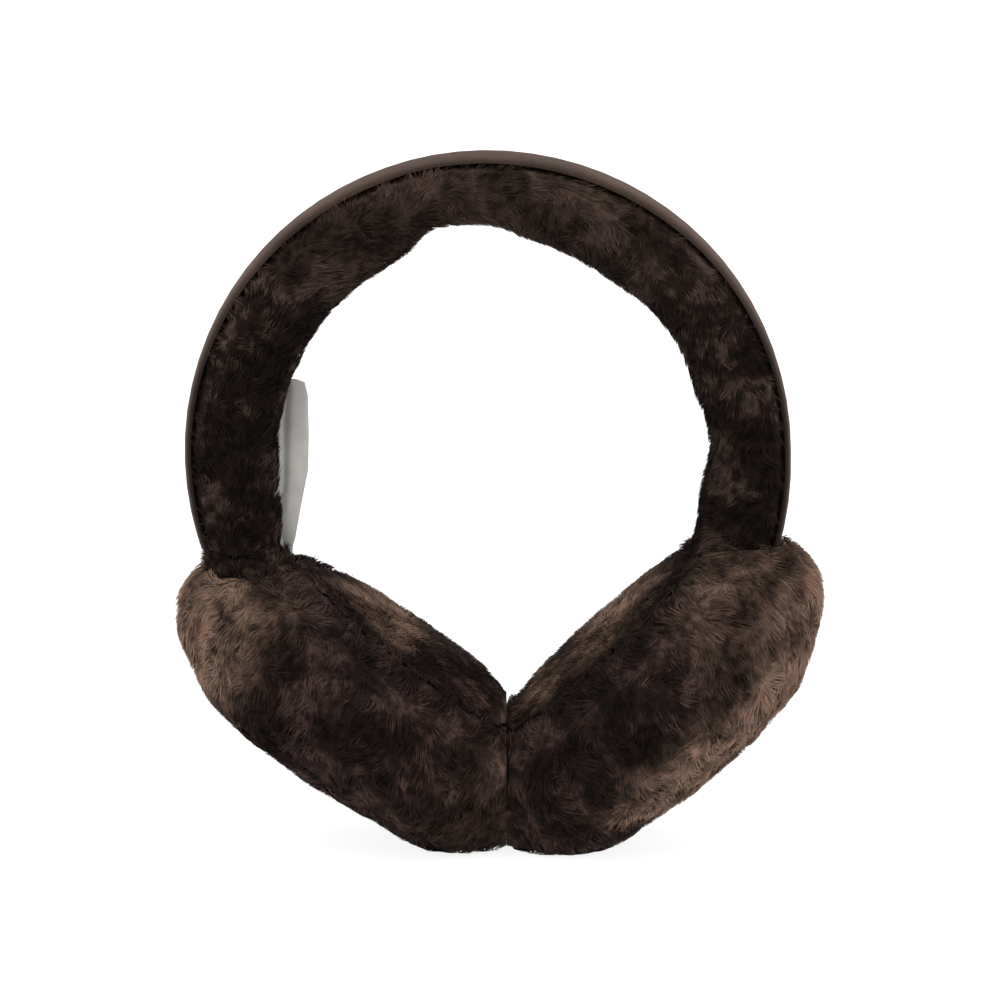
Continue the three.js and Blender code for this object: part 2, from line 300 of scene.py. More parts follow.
def satin_finish():
    made, tree, shader, place = new_finish("label_satin", Roughness=0.42, Specular_IOR_Level=0.45,
                                           Sheen_Weight=0.2)
    threads = add_node(tree, "ShaderNodeTexWave", bands_direction="Z")
    feed(tree, threads, Vector=place, Scale=900.0, Distortion=0.4)
    greys = dye_ramp(tree, cloud(tree, place, 120.0, 2.0), ((0.3, SATIN_DARK), (0.7, SATIN_LIGHT)))
    feed(tree, shader, Base_Color=greys)
    roughen(tree, shader, threads.outputs["Fac"], 0.25, 0.1 * MM)
    return made


satin = satin_finish()
print("finish:", satin.name)


# %% [markdown]
# ## Measuring the CAD solids
# The pile has to know how near it is to its neighbours. A BVH tree of each CAD solid answers that
# quickly for any point. The solids arrive as loose triangles, so a copy of each is merged first.

# %% A search tree for each CAD solid
def merged_bmesh(node):
    shape = bmesh.new()
    shape.from_mesh(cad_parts[node].data)
    bmesh.ops.remove_doubles(shape, verts=shape.verts, dist=0.01 * MM)
    return shape


solids = {}
for node_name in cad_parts:
    shape = merged_bmesh(node_name)
    solids[node_name] = BVHTree.FromBMesh(shape)
    shape.free()
print("solids:", ", ".join(solids))


def clear_of_others(node, point, reach, passed_over):
    """How far a point is from the nearest other CAD solid, up to reach."""
    nearest = reach
    for other, tree in solids.items():
        if other == node or other.startswith(passed_over):
            continue
        hit = tree.find_nearest(point, nearest)
        if hit[0] is not None:
            nearest = min(nearest, hit[3])
    return nearest


def room_round(node, points, reach, passed_over):
    return np.array([clear_of_others(node, Vector(p), reach, passed_over) for p in points])


def ease(value, low, high):
    """Rises softly from 0 at low to 1 at high."""
    share = np.clip((value - low) / (high - low), 0, 1)
    return share * share * (3 - 2 * share)


# %% Reading and writing a mesh's points and numbers
def read_vectors(mesh, kind):
    flat = np.empty(len(mesh.vertices) * 3, np.float32)
    mesh.vertices.foreach_get(kind, flat)
    return flat.reshape(-1, 3).astype(float)


def coordinates(mesh):
    return read_vectors(mesh, "co")


def normals(mesh):
    return read_vectors(mesh, "normal")


def put_coordinates(mesh, points):
    mesh.vertices.foreach_set("co", points.astype(np.float32).ravel())
    mesh.update()


def put_number(mesh, name, values):
    layer = mesh.attributes.get(name) or mesh.attributes.new(name, "FLOAT", "POINT")
    layer.data.foreach_set("value", np.asarray(values, np.float32))


def put_vector(mesh, name, values):
    layer = mesh.attributes.get(name) or mesh.attributes.new(name, "FLOAT_VECTOR", "POINT")
    layer.data.foreach_set("vector", np.asarray(values, np.float32).ravel())


# %% Placing a mesh, and baking its modifiers
def place_piece(name, mesh):
    piece = bpy.data.objects.new(name, mesh)
    bpy.context.scene.collection.objects.link(piece)
    return piece


def baked_mesh(piece):
    """A plain mesh of what the piece's modifiers make; the modifiers are then taken off."""
    graph = bpy.context.evaluated_depsgraph_get()
    mesh = bpy.data.meshes.new_from_object(piece.evaluated_get(graph), preserve_all_data_layers=True,
                                           depsgraph=graph)
    piece.modifiers.clear()
    return mesh


def settle(piece):
    piece.data = baked_mesh(piece)
    return piece


def soften(piece, rounds):
    smoother = piece.modifiers.new("soften", "SMOOTH")
    smoother.factor = 0.5
    smoother.iterations = rounds


# %% [markdown]
# ## Hides
# Under the pile of every fur panel lies its hide. The CAD solid gives the outside of the pile, so the
# hide is that solid sunk by the height of the pile wherever it is open to the air, with a low random
# relief so that it isn't a perfect dome. It could be modelled afresh or swelled by cloth simulation, but
# sinking the CAD solid itself keeps to the real outline most closely. A voxel remesh first turns the
# CAD's long triangles into an even skin, which can be sunk and sampled evenly.

# %% An even skin over a CAD solid
def even_skin(node, name, voxel):
    shape = merged_bmesh(node)
    mesh = bpy.data.meshes.new(name)
    shape.to_mesh(mesh)
    shape.free()
    piece = place_piece(name, mesh)
    remesh = piece.modifiers.new("even skin", "REMESH")
    remesh.mode = "VOXEL"
    remesh.voxel_size = voxel
    soften(piece, 4)
    return settle(piece)


# %% The flat face where the pads meet, and the ground under them
PRESSED = 2.2 * MM
ROUNDED = 5 * MM
contact = (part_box("ear_pad_outer_left")[1].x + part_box("ear_pad_outer_right")[0].x) / 2
print("the pads meet at x mm:", round(contact * 1000, 2))


def press_together(mesh, left):
    """The two pads touch on one flat face, with no daylight between them, and both stand flat."""
    points = coordinates(mesh)
    outward = -1 if left else 1
    gap = np.abs(points[:, 0] - contact)
    pressed = np.interp(gap, (0, PRESSED, ROUNDED, 1), (0.01 * MM, 0.01 * MM, ROUNDED, 1))
    points[:, 0] = contact + outward * pressed
    points[:, 2] = np.interp(points[:, 2], (-1, 3.2 * MM, 7 * MM, 1), (1.4 * MM, 1.7 * MM, 7 * MM, 1))
    put_coordinates(mesh, points)


# %% Sinking the skin to make a hide
NOT_IN_THE_WAY = {"headband": ("care",), "cuff": ("ear_pad", "care"), "ear_pad": ("cuff", "care")}
BULGE = 2.0 * MM
BULGE_FROM = 62 * MM
BULGE_FULL = 66 * MM


def cuff_bulge(points, facing):
    """The cuffs' outer walls swell a little, so that their pile meets the pads' pile."""
    outer_wall = ease(np.abs(facing[:, 0]), 0.4, 0.9)
    return BULGE * outer_wall * ease(np.abs(points[:, 0]), BULGE_FROM, BULGE_FULL)


def make_hide(node, name, voxel, sink, relief, relief_size):
    piece = even_skin(node, name, voxel * MM)
    points = coordinates(piece.data)
    facing = normals(piece.data)
    room = room_round(node, points, 6 * MM, ("care",))
    lumps = np.array([noise.noise(Vector(p) / (relief_size * MM)) for p in points])
    depth = ease(room, 0.6 * MM, 2.0 * MM) * (sink + relief * (lumps - 0.2)) * MM
    if node.startswith("cuff"):
        depth -= cuff_bulge(points, facing)
    passed_over = next(words for start, words in NOT_IN_THE_WAY.items() if node.startswith(start))
    bare = ease(room_round(node, points, 3 * MM, passed_over), 0.25 * MM, 0.8 * MM)
    put_coordinates(piece.data, points - facing * depth[:, None])
    put_number(piece.data, "pile", bare)
    soften(piece, 2)
    settle(piece)
    if node.startswith("ear_pad"):
        press_together(piece.data, node.endswith("left"))
    print(name, "faces:", len(piece.data.polygons), "open share:", round(float(bare.mean()), 2))
    return piece


# %% The seven hides
SIDES = ("left", "right")
CAD_NODE = {"headband": "headband_pile"}
for side in SIDES:
    CAD_NODE[side + "_cuff"] = "cuff_" + side
    CAD_NODE[side + "_outer"] = "ear_pad_outer_" + side
    CAD_NODE[side + "_inner"] = "ear_pad_inner_" + side

# each kind of hide: voxel, how deep it lies under the pile, relief, and the size of the relief, in mm
HIDE_SIZES = {
    "headband": (1.8, 2.0, 0.8, 9),
    "cuff": (1.5, -0.9, 0.3, 8),
    "outer": (2.0, 2.2, 1.8, 10),
    "inner": (1.5, 1.7, 0.8, 11),
}


def kind_of(part):
    return part.split("_")[-1]


hides = {}
for part, node in CAD_NODE.items():
    hides[part] = make_hide(node, part + "_hide", *HIDE_SIZES[kind_of(part)])


# %% [markdown]
# ## How the headband's pile lies
# Fleece is brushed one way, so its strands lean. On the headband they lean in towards the head and down
# towards the ears, and away from the suede close to it, which keeps them off the strip. Each hide
# carries a "lie" vector at every point for that, and two numbers for its colour: painted light makes the
# crown lighter and a little browner, as if lit from above, and painted shade makes one side darker low
# down. Painting these by hand would also work, but a rule can be read, and follows the shape if that changes.

# %% Lie, painted light and painted shade of the headband and the cuffs
CROWN_PAINTED_LIGHT = 0.5
LOW_PAINTED_SHADE = 0.3
low_suede, high_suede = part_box("headband_suede")
low_pile, high_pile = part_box("headband_pile")
hub = np.array(((low_pile.x + high_pile.x) / 2, 0, high_pile.z - 0.5 * (high_pile.x - low_pile.x)))
print("middle of the headband's ring, mm:", [round(float(x) * 1000, 1) for x in hub])


def unit(vectors):
    return vectors / np.maximum(np.linalg.norm(vectors, axis=1, keepdims=True), 1e-9)


def band_lie(mesh):
    points = coordinates(mesh)
    inward = hub - points
    inward[:, 1] = 0
    inward = unit(inward)
    onward = np.stack([-inward[:, 2], 0 * inward[:, 0], inward[:, 0]], axis=1)
    strip = np.array([solids["headband_suede"].find_nearest(Vector(p), 0.02)[3] or 0.02 for p in points])
    near_suede = ease(-strip, -5 * MM, -1 * MM)[:, None]
    put_vector(mesh, "lie", unit((0.35 - 1.2 * near_suede) * inward + 0.9 * onward))
    below_crown = high_pile.z - points[:, 2]
    # Painted light: the crown is lighter, as if lit from above.
    put_number(mesh, "tan_and_painted_light", CROWN_PAINTED_LIGHT * ease(-below_crown, -45 * MM, -5 * MM))
    # Painted shade: the left side is darker low down.
    one_side = ease(-points[:, 0], -20 * MM, 40 * MM)
    put_number(mesh, "painted_shade", LOW_PAINTED_SHADE * ease(below_crown, 54.6 * MM, 94.6 * MM) * one_side)


band_lie(hides["headband"].data)
for side in SIDES:
    cuff = hides[side + "_cuff"].data
    band_lie(cuff)
    put_number(cuff, "tan_and_painted_light", np.zeros(len(cuff.vertices)))


# %% [markdown]
# ## How the pads' pile lies
# On each pad's outer panel the strands lean over the rim and outwards from the middle of the panel, and
# on the inner panel they lean outwards only. Where the two panels are sewn together the pile turns over
# the seam, which shows as a soft dark crease, and painted shade darkens it further. All of this is said in
# the pad's own directions: "run" goes along the pad's face, and "rise" out of the outer panel.

# %% The pads' own directions
TILT = {"left": math.radians(37), "right": math.radians(43)}
TOWARDS_MIDDLE = {"left": 1, "right": -1}
PAD_SEAM = -18.5 * MM
left_low, left_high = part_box("ear_pad_outer_left")
right_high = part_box("ear_pad_outer_right")[1]
PAD_CENTRE = {
    "left": np.array((left_low.x + 44.74 * MM, 0, left_high.z - 34.9 * MM)),
    "right": np.array((right_high.x - 41.94 * MM, 0, right_high.z - 39.24 * MM)),
}


def pad_directions(side):
    tilt = TILT[side]
    run = np.array((TOWARDS_MIDDLE[side] * math.cos(tilt), 0, -math.sin(tilt)))
    rise = np.array((-TOWARDS_MIDDLE[side] * math.sin(tilt), 0, -math.cos(tilt)))
    return run, rise


def pad_lie(mesh, side, outer):
    local = coordinates(mesh) - PAD_CENTRE[side]
    along, out = pad_directions(side)
    run = local @ along
    rise = local @ out
    radial = unit(np.outer(run, along) + np.stack([0 * run, local[:, 1], 0 * run], axis=1))
    if outer:
        lie = 0.9 * out + 0.35 * radial + np.array((0, 0, -0.25))
        at_seam = ease(-rise, 8 * MM, 17 * MM)[:, None]
        lie = (1 - at_seam) * lie - at_seam * (out + 0.5 * radial)
    else:
        lie = radial + 0.2 * out
    put_vector(mesh, "lie", unit(lie))


for side in SIDES:
    pad_lie(hides[side + "_outer"].data, side, True)
    pad_lie(hides[side + "_inner"].data, side, False)
    print(side, "pad centre, mm:", [round(float(x) * 1000, 1) for x in PAD_CENTRE[side]])


# %% [markdown]
# ## Where the pads are tan, and where light and shade are painted on
# The dye is uneven. The pads are tan at the ends that stand out most. High on the rim that lies next to
# the ear the pile is painted lighter, as if lit from above, and painted shade makes it nearly black under
# the object, along the seam, and in the few hollows where the pile parts. Each of these is one soft
# patch, and the strongest wins where patches meet.

# %% Tan ends, and painted light on the rims
TAN_AND_RIM_LIGHT = 0.95


def tan_of_left(run, rise):
    end = ease(-run, 20 * MM, 37 * MM) * ease(rise, -20 * MM, -4 * MM)
    return np.maximum(end, 0.12 * ease(run, 20 * MM, 40 * MM))


def tan_of_right(run, rise, height, across):
    face = TAN_AND_RIM_LIGHT * ease(rise, 4 * MM, 13 * MM) * ease(height, 8 * MM, 14 * MM)
    face *= ease(across, -24.8 * MM, -10.8 * MM)
    end = TAN_AND_RIM_LIGHT * ease(-run, 26 * MM, 42 * MM) * ease(rise, -8 * MM, 4 * MM)
    return np.maximum(np.maximum(face, end), 0.28 * ease(-run, 8 * MM, 24 * MM))


# Painted light: high on the rim next to the ear the pile is lighter, as if lit from above.
def painted_rim_light(side, run, rise, height):
    start = 18 * MM if side == "right" else (18.8 + 4.2 * ease(run, 0, 16 * MM)) * MM
    return TAN_AND_RIM_LIGHT * ease(-rise - start, 0, 4 * MM) * ease(height, 28 * MM, 44 * MM)


# %% Painted shade under the pads, along the seams and in the hollows
SEAM_PAINTED_SHADE = {"left": 0.4, "right": 0.75}
HOLLOW_PAINTED_SHADE = 0.8
# painted shade where the pile parts deepest: x and z from the pad's centre, and reach, in mm
SHADED_HOLLOWS = {
    "left": ((-21, 30.3, 6), (2, -6.7, 8), (15, 10.3, 7)),
    "right": ((-15.8, 1.9, 17), (-37.8, -24.1, 6), (29.2, 32.9, 3), (33.2, 27.9, 3), (36.2, 22.9, 3)),
}


def pad_painted_shade(mesh, side, local, rise, height):
    # Painted shade: darker where the pad faces down and low near the floor, along the seam, and in the listed
    # hollows.
    under = ease(-normals(mesh)[:, 2], 0.86, 0.99)
    painted_shade = np.maximum(under, 0.6 * ease(-height, -9 * MM, -1 * MM))
    at_seam = ease(-np.abs(rise - PAD_SEAM), -2.6 * MM, -0.6 * MM)
    painted_shade = np.maximum(painted_shade, SEAM_PAINTED_SHADE[side] * at_seam)
    for x, z, reach in SHADED_HOLLOWS[side]:
        off = np.hypot(local[:, 0] - x * MM, local[:, 2] - z * MM)
        painted_shade = np.maximum(painted_shade, HOLLOW_PAINTED_SHADE * ease(-off, -reach * MM, -0.25 * reach * MM))
    return painted_shade


def colour_pad(mesh, side):
    points = coordinates(mesh)
    local = points - PAD_CENTRE[side]
    height = points[:, 2]
    run, rise = (local @ direction for direction in pad_directions(side))
    if side == "left":
        tan_and_painted_light = tan_of_left(run, rise)
    else:
        tan_and_painted_light = tan_of_right(run, rise, height, local[:, 0])
    # Tan dye at the ends, and painted light on the upper rim.
    tan_and_painted_light = np.maximum(tan_and_painted_light, painted_rim_light(side, run, rise, height))
    # Painted shade under the pad, along the seam and in the hollows.
    painted_shade = pad_painted_shade(mesh, side, local, rise, height)
    put_number(mesh, "tan_and_painted_light", tan_and_painted_light * (1 - painted_shade))
    put_number(mesh, "painted_shade", painted_shade)
    print(side, "pad, mean tan:", round(float(tan_and_painted_light.mean()), 2), "mean dusk:", round(float(painted_shade.mean()), 2))


for side in SIDES:
    for panel in ("_outer", "_inner"):
        colour_pad(hides[side + panel].data, side)


# %% [markdown]
# ## The strand tree
# A strand of fleece repeats tens of thousands of times, so Geometry Nodes scatter it. Blender's hair
# curves would do the same on screen, but here each strand is real faces, and few of them: a spindle of
# six triangles with a bend where it is widest. Blender's hair curves would do the same on screen, but
# the export needs real faces, and few of them. Its tip is drawn towards the middle of its tuft, which
# is what makes real fleece part into locks.

# %% Reading and storing numbers inside the tree
def named_field(tree, kind, label):
    made = add_node(tree, "GeometryNodeInputNamedAttribute", data_type=kind)
    return feed(tree, made, Name=label).outputs["Attribute"]


def stored(tree, geometry, kind, label, value):
    keep = add_node(tree, "GeometryNodeStoreNamedAttribute", data_type=kind, domain="POINT")
    return feed(tree, keep, Geometry=geometry, Name=label, Value=value).outputs["Geometry"]


def laid_flat(tree, vector, upright):
    """The part of a vector that lies along the hide."""
    lifted = vector_node(tree, "DOT_PRODUCT", vector, upright)
    return vector_node(tree, "SUBTRACT", vector, vector_node(tree, "SCALE", upright, scale=lifted))


# %% The brushed direction, and the way a strand grows
def brushed_flow(tree, given, place, upright):
    lie = named_field(tree, "FLOAT_VECTOR", "lie")
    swirl = feed(tree, add_node(tree, "ShaderNodeTexNoise"), Vector=place, Scale=110.0, Detail=2.0)
    turned = vector_node(tree, "SUBTRACT", swirl.outputs["Color"], (0.5, 0.5, 0.5))
    flow = vector_node(tree, "ADD", lie, vector_node(tree, "SCALE", turned, scale=given["Swirl"]))
    return vector_node(tree, "NORMALIZE", laid_flat(tree, flow, upright))


def growing_way(tree, given, flow, upright):
    """Up from the hide, over along the flow, and a little astray at random."""
    stray = add_node(tree, "FunctionNodeRandomValue", data_type="FLOAT_VECTOR")
    stray.inputs[0].default_value = (-0.28, -0.28, -0.28)
    stray.inputs[1].default_value = (0.28, 0.28, 0.28)
    feed(tree, stray, Seed=given["Seed"])
    way = vector_node(tree, "ADD", upright, vector_node(tree, "SCALE", flow, scale=given["Lean"]))
    return vector_node(tree, "NORMALIZE", vector_node(tree, "ADD", way, stray.outputs[0]))


# %% Tufts, and the length of a strand
def tuft_fields(tree, given, place, upright):
    """The pull towards the middle of the tuft, and the tuft's own shade."""
    tufts = add_node(tree, "ShaderNodeTexVoronoi", voronoi_dimensions="3D", feature="F1")
    feed(tree, tufts, Vector=place, Scale=math_node(tree, "DIVIDE", 1.0, given["Tuft size"]))
    pull = vector_node(tree, "SUBTRACT", tufts.outputs["Position"], place)
    pull = vector_node(tree, "SCALE", laid_flat(tree, pull, upright), scale=given["Tuft pull"])
    shades = add_node(tree, "FunctionNodeSeparateColor")
    tree.links.new(tufts.outputs["Color"], shades.inputs[0])
    return pull, shades.outputs[0]


def strand_length(tree, given, hair, tuft, mask):
    long = math_node(tree, "MULTIPLY_ADD", hair, 0.35, 0.72)
    long = math_node(tree, "MULTIPLY", long, math_node(tree, "MULTIPLY_ADD", tuft, 0.3, 0.85))
    fringe = math_node(tree, "MULTIPLY_ADD", mask, 0.5, 0.5)
    return math_node(tree, "MULTIPLY", math_node(tree, "MULTIPLY", long, fringe), given["Length"])


# %% One strand: a spindle of six triangles
def spindle(tree, place):
    """Stands with its root at the origin, one unit tall, widest low down; "tip" says how far up."""
    ball = feed(tree, add_node(tree, "GeometryNodeMeshUVSphere"), Segments=3, Rings=2, Radius=1.0)
    raised = feed(tree, add_node(tree, "GeometryNodeTransform"), Geometry=ball.outputs["Mesh"],
                  Translation=(0, 0, 0.5), Scale=(0.5, 0.5, 0.5))
    at = add_node(tree, "ShaderNodeSeparateXYZ")
    tree.links.new(place, at.inputs[0])
    lower = math_node(tree, "POWER", math_node(tree, "MAXIMUM", at.outputs["Z"], 0.0), 1.3)
    moved = feed(tree, add_node(tree, "ShaderNodeCombineXYZ"), X=at.outputs["X"], Y=at.outputs["Y"], Z=lower)
    shaped = feed(tree, add_node(tree, "GeometryNodeSetPosition"), Geometry=raised.outputs[0],
                  Position=moved.outputs[0])
    return stored(tree, shaped.outputs[0], "FLOAT", "tip", at.outputs["Z"])


# %% Standing the strands on their points, and bending them
def stand_up(tree, given, points, strand, way, long):
    spin = add_node(tree, "FunctionNodeRandomValue", data_type="FLOAT_VECTOR")
    spin.inputs[1].default_value = (0, 0, 6.283)
    aim = add_node(tree, "FunctionNodeAlignRotationToVector", axis="Z")
    feed(tree, aim, Rotation=spin.outputs[0], Vector=way)
    thick = given["Thickness"]
    size = feed(tree, add_node(tree, "ShaderNodeCombineXYZ"), X=thick, Y=thick, Z=long)
    copies = add_node(tree, "GeometryNodeInstanceOnPoints")
    feed(tree, copies, Points=points, Instance=strand, Rotation=aim.outputs[0], Scale=size.outputs[0])
    return feed(tree, add_node(tree, "GeometryNodeRealizeInstances"), Geometry=copies.outputs[0]).outputs[0]


def bent(tree, strands):
    share = math_node(tree, "POWER", named_field(tree, "FLOAT", "tip"), 1.7)
    shift = vector_node(tree, "SCALE", named_field(tree, "FLOAT_VECTOR", "bend"), scale=share)
    moved = feed(tree, add_node(tree, "GeometryNodeSetPosition"), Geometry=strands, Offset=shift)
    return feed(tree, add_node(tree, "GeometryNodeSetShadeSmooth"), Geometry=moved.outputs[0]).outputs[0]


# %% The whole tree, and its named inputs
USUAL_SIZES = {"Spacing": 0.00065, "Length": 0.008, "Thickness": 0.0004, "Lean": 0.8, "Curl": 0.3,
               "Swirl": 5.0, "Tuft size": 0.005, "Tuft pull": 0.6}


def add_sockets(tree):
    face = tree.interface
    face.new_socket("Hide", in_out="INPUT", socket_type="NodeSocketGeometry")
    for label, usual in USUAL_SIZES.items():
        face.new_socket(label, in_out="INPUT", socket_type="NodeSocketFloat").default_value = usual
    face.new_socket("Seed", in_out="INPUT", socket_type="NodeSocketInt")
    face.new_socket("Finish", in_out="INPUT", socket_type="NodeSocketMaterial")
    face.new_socket("Pile", in_out="OUTPUT", socket_type="NodeSocketGeometry")


def pile_tree():
    tree = bpy.data.node_groups.new("pile", "GeometryNodeTree")
    add_sockets(tree)
    given = add_node(tree, "NodeGroupInput").outputs
    mask = named_field(tree, "FLOAT", "pile")
    scatter = add_node(tree, "GeometryNodeDistributePointsOnFaces", distribute_method="POISSON")
    dense = math_node(tree, "DIVIDE", 2.0, math_node(tree, "MULTIPLY", given["Spacing"], given["Spacing"]))
    feed(tree, scatter, Mesh=given["Hide"], Distance_Min=given["Spacing"], Density_Max=dense,
         Density_Factor=mask, Seed=given["Seed"])
    upright = scatter.outputs["Normal"]
    place = add_node(tree, "GeometryNodeInputPosition").outputs[0]
    flow = brushed_flow(tree, given, place, upright)
    pull, tuft = tuft_fields(tree, given, place, upright)
    curl = math_node(tree, "MULTIPLY", given["Curl"], given["Length"])
    bend = vector_node(tree, "ADD", pull, vector_node(tree, "SCALE", flow, scale=curl))
    any_hair = add_node(tree, "FunctionNodeRandomValue", data_type="FLOAT")
    hair = feed(tree, any_hair, Seed=math_node(tree, "ADD", given["Seed"], 7.0)).outputs[1]
    points = stored(tree, scatter.outputs["Points"], "FLOAT", "hair", hair)
    points = stored(tree, points, "FLOAT", "tuft", tuft)
    points = stored(tree, points, "FLOAT_VECTOR", "bend", bend)
    way = growing_way(tree, given, flow, upright)
    long = strand_length(tree, given, hair, tuft, mask)
    strands = stand_up(tree, given, points, spindle(tree, place), way, long)
    finish = feed(tree, add_node(tree, "GeometryNodeSetMaterial"), Geometry=bent(tree, strands),
                  Material=given["Finish"])
    tree.links.new(finish.outputs[0], add_node(tree, "NodeGroupOutput").inputs[0])
    return tree


strand_tree = pile_tree()
print("nodes in the strand tree:", len(strand_tree.nodes))


# %% [markdown]
# ## Growing and shearing the pile
# The tree runs as a modifier on each hide, and its result is kept as a plain mesh of its own. Grown
# pile is uneven, as it is on a real skin, which a furrier then shears level. The script does the same:
# whatever stands past the CAD outline is laid down, which also keeps each panel to its real size.

# %% Growing pile on a hide
def grow_pile(hide, name, finish, seed, sizes):
    grower = hide.modifiers.new("pile", "NODES")
    grower.node_group = strand_tree
    wanted = {"Seed": seed, "Finish": finish, **sizes}
    for item in strand_tree.interface.items_tree:
        if item.name in wanted:
            grower[item.identifier] = wanted[item.name]
    mesh = baked_mesh(hide)
    mesh.name = name
    if "bend" in mesh.attributes:
        mesh.attributes.remove(mesh.attributes["bend"])
    if not mesh.materials:
        mesh.materials.append(finish)
    mesh.materials[0] = finish
    print(name, "triangles:", sum(len(p.vertices) - 2 for p in mesh.polygons))
    return place_piece(name, mesh)


# %% The skins that the pile is sheared to
def joint_skin(*starts):
    """One search tree over every CAD solid whose name starts with one of the given words."""
    whole = bmesh.new()
    for node_name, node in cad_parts.items():
        if node_name.startswith(starts):
            whole.from_mesh(node.data)
    tree = BVHTree.FromBMesh(whole)
    print("skin over", starts, "faces:", len(whole.faces))
    whole.free()
    return tree


pads_skin = joint_skin("ear_pad")
band_skin = joint_skin("headband", "cuff", "ear_pad")


# %% Shearing, and pressing flat
SEARCH = 12 * MM
UNEVEN = 0.5 * MM
UNEVEN_SIZE = 4 * MM


def shear(piece, node, skin, height, evenness):
    """What stands past its own solid and past the skin by more than height lies down."""
    points = coordinates(piece.data)
    for index, point in enumerate(points):
        place = Vector(point)
        near, facing, _, _ = solids[node].find_nearest(place, SEARCH)
        if near is None:
            continue
        above = (place - near).dot(facing)
        level = height * MM + UNEVEN * noise.noise(place / UNEVEN_SIZE)
        if above <= level:
            continue
        next_near, next_facing, _, _ = skin.find_nearest(place, SEARCH)
        above = min(above, (place - next_near).dot(next_facing))
        if above > level:
            points[index] = place + facing * (evenness - 1) * (above - level)
    put_coordinates(piece.data, points)


def keep_clear(piece, side):
    """Presses a pad's strands flat against the floor and against the plane where the pads meet."""
    points = coordinates(piece.data)
    points[:, 2] = np.maximum(points[:, 2], cad_low.z + 0.3 * MM)
    if side == "left":
        points[:, 0] = np.minimum(points[:, 0], contact - 0.02 * MM)
    else:
        points[:, 0] = np.maximum(points[:, 0], contact + 0.02 * MM)
    put_coordinates(piece.data, points)


# %% The pile of every panel
LOOSER = 1.0


def strand_sizes(spacing, length, thickness, tuft_size, **shape):
    """Sizes in mm; what else the tree takes has no unit."""
    return {"Spacing": spacing * MM * LOOSER, "Length": length * MM, "Thickness": thickness * MM,
            "Tuft size": tuft_size * MM, "Tuft pull": shape["pull"], "Lean": shape["lean"],
            "Curl": shape["curl"], "Swirl": shape["swirl"]}


STRANDS = {
    "headband": strand_sizes(0.52, 4.0, 0.29, 4.0, lean=1.3, curl=0.25, swirl=6.0, pull=0.55),
    "cuff": strand_sizes(0.60, 2.8, 0.30, 3.0, lean=1.4, curl=0.3, swirl=3.0, pull=0.4),
    "outer": strand_sizes(0.53, 4.4, 0.31, 4.5, lean=1.3, curl=0.25, swirl=5.0, pull=0.5),
    "inner": strand_sizes(0.50, 3.2, 0.30, 4.0, lean=1.3, curl=0.2, swirl=4.0, pull=0.3),
}
SEEDS = {"headband": 3, "left_cuff": 11, "left_outer": 12, "left_inner": 13,
         "right_cuff": 23, "right_outer": 24, "right_inner": 25}
# how far past the CAD outline each kind of pile may stand in mm, and what is left of the rest
SHORN = {"headband": (-0.1, 0.3), "cuff": (1.6, 0.3), "outer": (0.1, 0.18), "inner": (0.1, 0.18)}

piles = {}
for part, hide in hides.items():
    kind = kind_of(part)
    on_pad = kind in ("outer", "inner")
    finish = pad_pile if on_pad else band_pile
    piles[part] = grow_pile(hide, part + "_strands", finish, SEEDS[part], STRANDS[kind])
    if on_pad:
        keep_clear(piles[part], part.split("_")[0])
    shear(piles[part], CAD_NODE[part], pads_skin if on_pad else band_skin, *SHORN[kind])

# %% [markdown]
# ## Fitting the fur to the frame
# Each hide stands for its CAD node, which is hidden. Its pile rides on the same body. The hide shows
# between the strands, so it gets the same dyes with a rough surface and middling numbers of its own.

# %% Fitting hides and pile
UNDERFUR = {"tip": 0.5, "hair": 0.4, "tuft": 0.45}
for part, hide in hides.items():
    hide.data.materials.clear()
    hide.data.materials.append(pad_underfur if kind_of(part) in ("outer", "inner") else band_underfur)
    hide.data.shade_smooth()
    for label, value in UNDERFUR.items():
        put_number(hide.data, label, np.full(len(hide.data.vertices), value))
    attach(hide, "root")
    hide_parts(CAD_NODE[part])
    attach(piles[part], "root")


# %% [markdown]
# ## Suede strip
# The strip is cut from one length of suede and follows the crown of the headband. It could be a curve
# with a bevel, but its thickness changes along the band. So rays from the middle of the band find the
# CAD strip's two faces at each angle, and a section is swept between them. Its edges are skived, which
# means pared thin, and its underside is let a little into the pile, so that no light passes under it.

# %% Finding the strip's two faces
STATIONS = 220
ACROSS = 26
START, END = math.radians(-24), math.radians(207)
FOOT_MARGIN = 0.4 * MM
LET_IN = 0.7 * MM


def outward_at(angle):
    return Vector((math.cos(angle), 0, math.sin(angle)))


def radius_at(angle, y, inside):
    """From the middle of the ring to the strip's inner or outer face, or None where it misses."""
    out = outward_at(angle)
    middle = Vector(hub) + Vector((0, y, 0))
    start, way = (middle + out * 0.03, out) if inside else (middle + out * 0.2, -out)
    hit = solids["headband_suede"].ray_cast(start, way)[0]
    return None if hit is None else (hit - middle).length


# %% One section of the strip
HALF_WIDTH = high_suede.y


